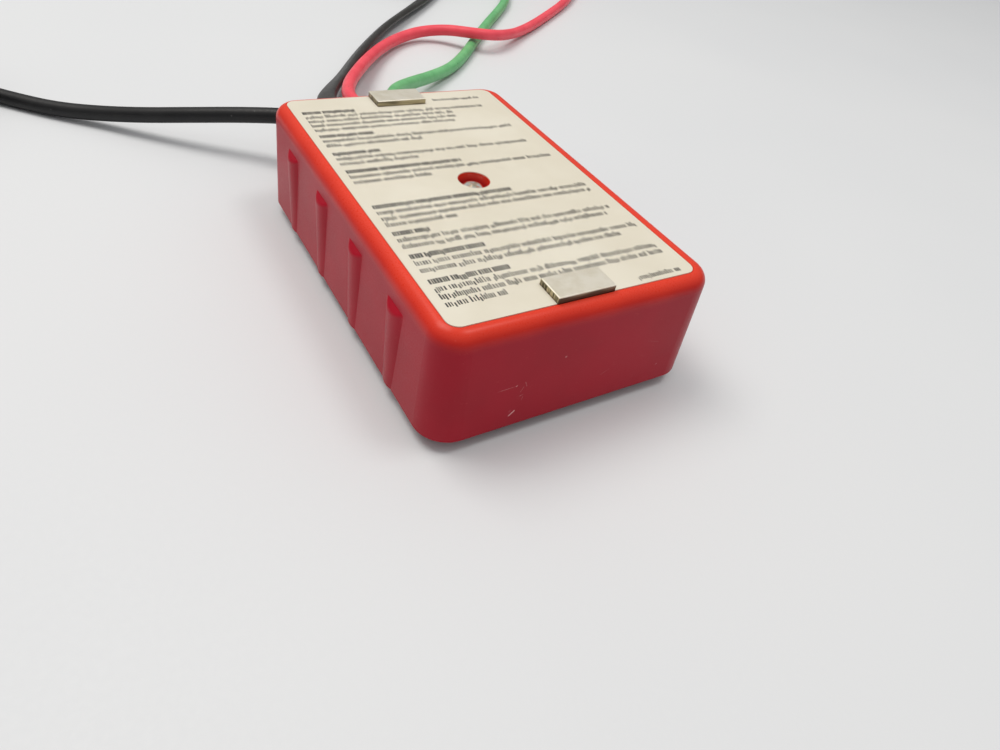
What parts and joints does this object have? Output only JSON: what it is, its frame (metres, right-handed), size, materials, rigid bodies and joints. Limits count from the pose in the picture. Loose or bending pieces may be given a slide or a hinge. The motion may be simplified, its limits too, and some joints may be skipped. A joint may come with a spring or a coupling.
{
  "type": "circuit tracer tone generator",
  "caption": "Hand-held tone generator in a ribbed red tub case with magnets on its back, a slide switch, and clip, modular and coax leads.",
  "frame": {"origin": "middle of the case on the surface it lies on, front down", "axes": "+Z out of the case back, +Y towards the wall that the leads leave, X across the width"},
  "size_m": [0.3369, 0.3261, 0.0279],
  "materials": {
    "case_red": "satin, lightly scratched",
    "label_cream": "printed vinyl",
    "label_dark": "printed vinyl",
    "nickel": "nickel plated",
    "steel": "zinc plated",
    "board_green": "solder mask",
    "black_plastic": "moulded",
    "grey_metal": "sleeved can",
    "ferrite": "ferrite and tape",
    "resistor_tan": "lacquered",
    "led_green": "clear tinted",
    "led_red": "clear tinted",
    "battery_skin": "printed metal jacket",
    "foam_grey": "foam",
    "wire_red": "insulated wire",
    "lead_red": "flexible PVC",
    "lead_green": "flexible PVC",
    "cord_black": "flexible PVC",
    "clip_red": "soft PVC",
    "clip_green": "soft PVC",
    "clear_plastic": "clear polycarbonate",
    "gold": "gold flash",
    "white_plastic": "foam dielectric"
  },
  "bodies": {
    "case": {"rear_case": "case_red", "front_cover": "case_red", "rear_label": "label_cream", "front_label": "label_dark", "far_magnet": "nickel", "near_magnet": "nickel", "case_screw": "steel", "norm_led": "led_green", "rev_led": "led_red", "circuit_board": "board_green", "board_screws": "steel", "switch_housing": "steel", "beeper": "black_plastic", "tone_chip": "black_plastic", "transformer": "ferrite", "capacitors": "grey_metal", "resistors": "resistor_tan", "battery": "battery_skin", "battery_snap": "black_plastic", "battery_wires": "wire_red", "battery_foam": "foam_grey", "cord_clamp": "black_plastic", "clamp_screws": "steel", "unlock_spring": "steel", "cord_grommet": "cord_black", "coax_cord": "cord_black", "line_cord": "cord_black", "red_lead": "lead_red", "green_lead": "lead_green", "coax_coil": "cord_black", "line_coil": "cord_black", "red_coil": "lead_red", "green_coil": "lead_green", "coax_tie": "black_plastic", "line_tie": "black_plastic", "red_tie": "black_plastic", "green_tie": "black_plastic", "red_clip_base": "nickel", "red_clip_boot": "clip_red", "red_clip_pin": "steel", "red_clip_spring": "steel", "green_clip_base": "nickel", "green_clip_boot": "clip_green", "green_clip_pin": "steel", "green_clip_spring": "steel", "modular_plug": "clear_plastic", "plug_contacts": "gold", "coax_ferrule": "nickel", "coax_dielectric": "white_plastic", "coax_pin": "gold"},
    "slide_knob": {"slide_knob": "black_plastic"},
    "unlock_button": {"unlock_button": "black_plastic"},
    "red_jaw": {"red_clip_jaw": "nickel", "red_clip_lever": "clip_red"},
    "green_jaw": {"green_clip_jaw": "nickel", "green_clip_lever": "clip_green"},
    "coax_nut": {"coax_nut": "nickel"}
  },
  "joints": [
    {"name": "knob_slide", "type": "slide", "parent": "case", "child": "slide_knob", "axis": [0, -1, 0], "range_m": [0, 0.012]},
    {"name": "unlock_press", "type": "slide", "parent": "case", "child": "unlock_button", "axis": [0, 0, 1], "range_m": [0, 0.001], "stiffness_N_per_m": 200, "springref_m": -0.0005, "deforming": ["unlock_spring"]},
    {"name": "red_clip_hinge", "type": "hinge", "parent": "case", "child": "red_jaw", "pos_m": [0.13895, 0.27118, 0.0054], "axis": [0.342, 0.9397, 0], "range_deg": [0, 15], "stiffness_Nm_per_rad": 0.06, "springref_deg": -17.19, "deforming": ["red_clip_spring"]},
    {"name": "green_clip_hinge", "type": "hinge", "parent": "case", "child": "green_jaw", "pos_m": [0.09195, 0.27018, 0.0054], "axis": [0.342, 0.9397, 0], "range_deg": [0, 15], "stiffness_Nm_per_rad": 0.06, "springref_deg": -17.19, "deforming": ["green_clip_spring"]},
    {"name": "coax_nut_spin", "type": "hinge", "parent": "case", "child": "coax_nut", "pos_m": [-0.1333, 0.0776, 0.0055], "axis": [0, -1, 0], "continuous": true}
  ]
}
